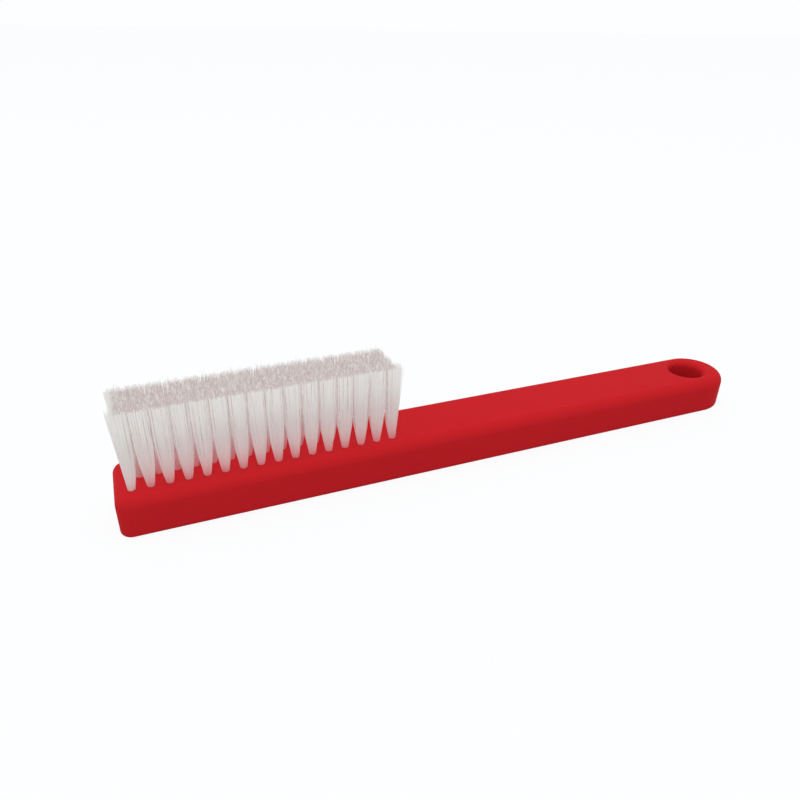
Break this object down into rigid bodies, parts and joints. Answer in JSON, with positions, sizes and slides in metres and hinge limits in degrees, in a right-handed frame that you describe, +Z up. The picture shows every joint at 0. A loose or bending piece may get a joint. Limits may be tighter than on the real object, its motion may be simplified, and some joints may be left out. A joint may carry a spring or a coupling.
{
  "type": "nail brush",
  "caption": "Long-handled nail brush: a slim moulded bar with a hang hole at its tail and three staggered rows of trimmed nylon tufts, each anchored in a blind hole.",
  "frame": {"origin": "middle of the flat back face that the brush lies on, half way along the handle", "axes": "+X along the handle from the bristled head to the tail with the hang hole, +Y across the handle, +Z up along the bristles from the back face to their trimmed tips"},
  "size_m": [0.17, 0.0178, 0.0291],
  "materials": {
    "handle_plastic": "moulded red polypropylene with a soft gloss",
    "bristle_nylon": "natural white nylon filament with trimmed ends",
    "anchor_metal": "cut flat wire, bare"
  },
  "bodies": {
    "root": {"handle": "handle_plastic", "tuft_a01": "bristle_nylon", "tuft_a02": "bristle_nylon", "tuft_a03": "bristle_nylon", "tuft_a04": "bristle_nylon", "tuft_a05": "bristle_nylon", "tuft_a06": "bristle_nylon", "tuft_a07": "bristle_nylon", "tuft_a08": "bristle_nylon", "tuft_a09": "bristle_nylon", "tuft_a10": "bristle_nylon", "tuft_a11": "bristle_nylon", "tuft_a12": "bristle_nylon", "tuft_a13": "bristle_nylon", "tuft_a14": "bristle_nylon", "tuft_a15": "bristle_nylon", "tuft_a16": "bristle_nylon", "tuft_b01": "bristle_nylon", "tuft_b02": "bristle_nylon", "tuft_b03": "bristle_nylon", "tuft_b04": "bristle_nylon", "tuft_b05": "bristle_nylon", "tuft_b06": "bristle_nylon", "tuft_b07": "bristle_nylon", "tuft_b08": "bristle_nylon", "tuft_b09": "bristle_nylon", "tuft_b10": "bristle_nylon", "tuft_b11": "bristle_nylon", "tuft_b12": "bristle_nylon", "tuft_b13": "bristle_nylon", "tuft_b14": "bristle_nylon", "tuft_b15": "bristle_nylon", "tuft_c01": "bristle_nylon", "tuft_c02": "bristle_nylon", "tuft_c03": "bristle_nylon", "tuft_c04": "bristle_nylon", "tuft_c05": "bristle_nylon", "tuft_c06": "bristle_nylon", "tuft_c07": "bristle_nylon", "tuft_c08": "bristle_nylon", "tuft_c09": "bristle_nylon", "tuft_c10": "bristle_nylon", "tuft_c11": "bristle_nylon", "tuft_c12": "bristle_nylon", "tuft_c13": "bristle_nylon", "tuft_c14": "bristle_nylon", "tuft_c15": "bristle_nylon", "tuft_c16": "bristle_nylon", "anchors": "anchor_metal"}
  },
  "joints": []
}
